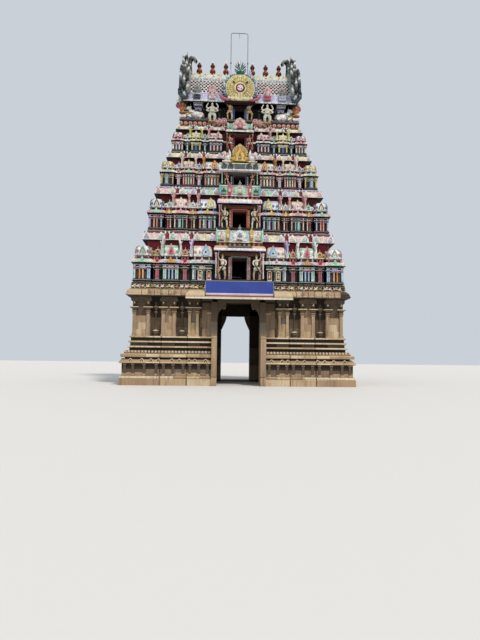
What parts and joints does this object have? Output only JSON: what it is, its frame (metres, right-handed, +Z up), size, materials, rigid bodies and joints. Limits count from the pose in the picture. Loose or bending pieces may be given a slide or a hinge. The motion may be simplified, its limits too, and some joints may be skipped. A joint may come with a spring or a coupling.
{
  "type": "temple gate tower",
  "caption": "Painted temple gate tower: granite storey with a passage, stepped stucco storeys with miniature shrines and doors, barrel roof with horned gables and finials.",
  "frame": {"origin": "on the ground under the middle of the tower", "axes": "+Z up, +X to the right along the front, -Y out of the front, which has the sign board"},
  "size_m": [14.92, 10.7, 26.546],
  "materials": {
    "granite": "dressed granite, weathered",
    "painted_stucco": "lime stucco in pastel paints, dusty",
    "porch_paint": "lime stucco painted cream, white and terracotta",
    "gold_paint": "stucco painted yellow",
    "dark_paint": "stucco painted near black",
    "copper": "dull copper alloy",
    "pipe_steel": "grey painted steel",
    "sign_paint": "gloss blue paint on sheet steel"
  },
  "bodies": {
    "root": {"granite_flank_left": "granite", "granite_flank_right": "granite", "granite_cornice": "granite", "gate_frame_front": "granite", "gate_frame_back": "granite", "inner_door_frame": "granite", "gate_canopy_front": "granite", "gate_canopy_back": "granite", "sign_board": "sign_paint", "tala_1_wall_front": "painted_stucco", "tala_1_wall_back": "painted_stucco", "tala_1_wall_right": "painted_stucco", "tala_1_wall_left": "painted_stucco", "tala_1_cornice": "painted_stucco", "tala_1_porch_front": "porch_paint", "tala_1_porch_back": "porch_paint", "tala_2_wall_front": "painted_stucco", "tala_2_wall_back": "painted_stucco", "tala_2_wall_right": "painted_stucco", "tala_2_wall_left": "painted_stucco", "tala_2_cornice": "painted_stucco", "tala_2_porch_front": "porch_paint", "tala_2_porch_back": "porch_paint", "tala_3_wall_front": "painted_stucco", "tala_3_wall_back": "painted_stucco", "tala_3_wall_right": "painted_stucco", "tala_3_wall_left": "painted_stucco", "tala_3_cornice": "painted_stucco", "tala_3_porch_front": "porch_paint", "tala_3_porch_back": "porch_paint", "tala_4_wall_front": "painted_stucco", "tala_4_wall_back": "painted_stucco", "tala_4_wall_right": "painted_stucco", "tala_4_wall_left": "painted_stucco", "tala_4_cornice": "painted_stucco", "tala_4_porch_front": "porch_paint", "tala_4_porch_back": "porch_paint", "neck_base": "painted_stucco", "neck_wall": "dark_paint", "roof_vault": "painted_stucco", "gable_right": "painted_stucco", "gable_left": "painted_stucco", "medallion_front": "gold_paint", "medallion_back": "gold_paint", "kalasam_1": "copper", "kalasam_2": "copper", "kalasam_3": "copper", "kalasam_4": "copper", "kalasam_5": "copper", "kalasam_6": "copper", "kalasam_7": "copper", "lamp_frame": "pipe_steel", "lamp": "pipe_steel"}
  },
  "joints": []
}
